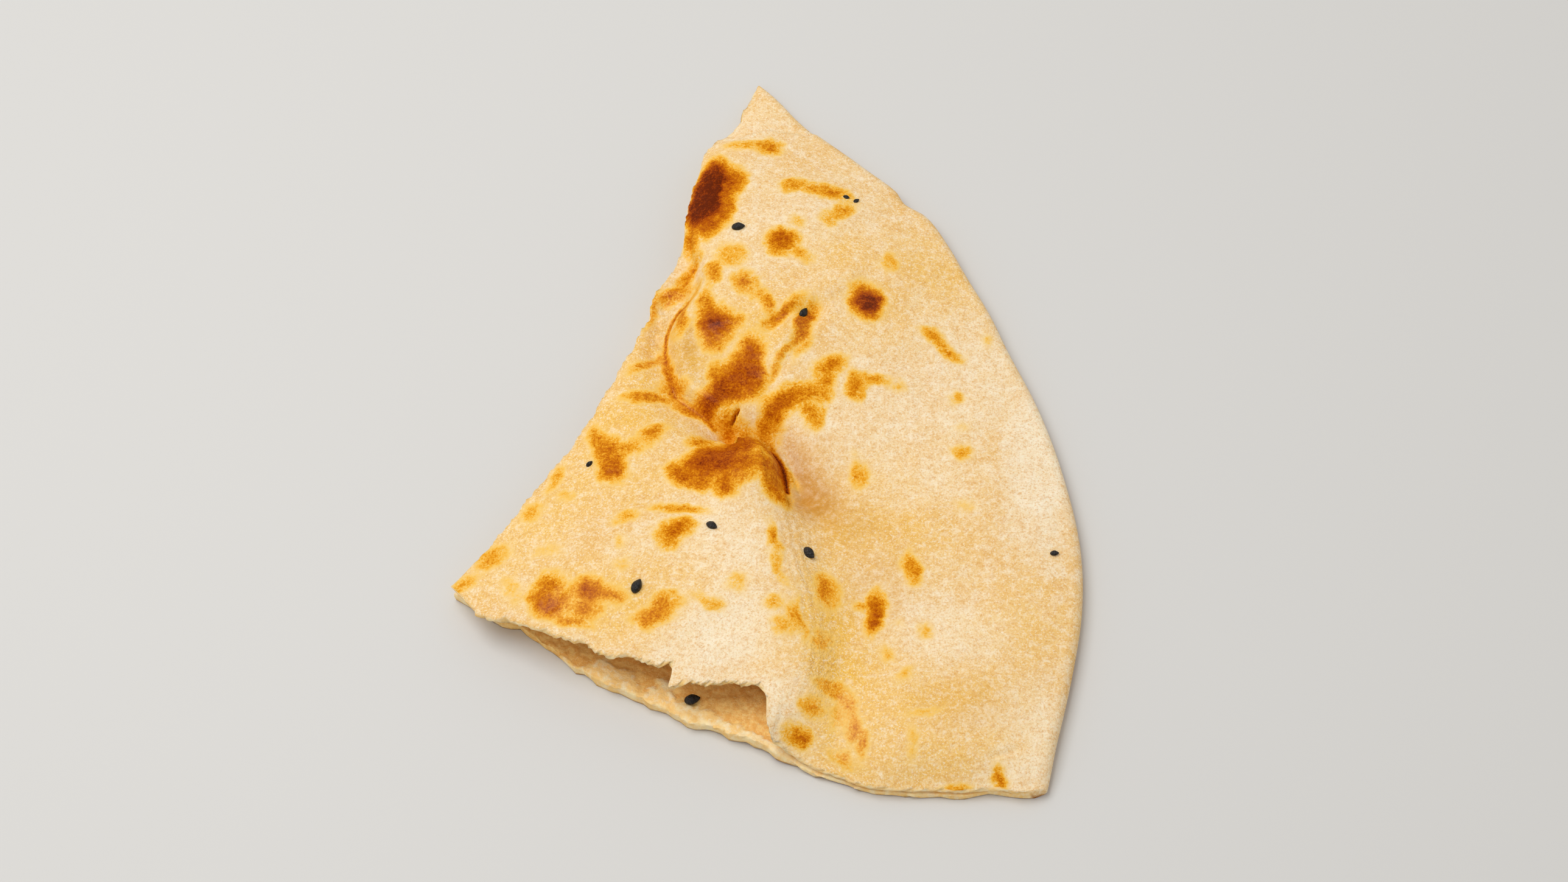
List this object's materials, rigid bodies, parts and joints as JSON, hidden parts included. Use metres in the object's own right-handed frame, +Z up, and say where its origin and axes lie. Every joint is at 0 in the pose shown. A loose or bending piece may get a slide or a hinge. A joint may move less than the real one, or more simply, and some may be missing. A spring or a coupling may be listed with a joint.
{
  "type": "naan quarter",
  "caption": "Quarter of a puffed round naan with browned spots and nigella seeds, two thin layers joined at the rim, the upper one pleated and torn back.",
  "frame": {"origin": "under the middle of the piece's bounding box, on the surface it lies on", "axes": "+X to the right, towards the round rim; +Y away from the torn front edge, towards the far point; +Z up"},
  "size_m": [0.1392, 0.1966, 0.0164],
  "materials": {
    "baked_dough": "cream baked dough with orange-brown to dark brown spots, brushed with butter in places",
    "nigella_seed": "dull black seed"
  },
  "bodies": {
    "root": {"naan": "baked_dough"}
  },
  "joints": []
}
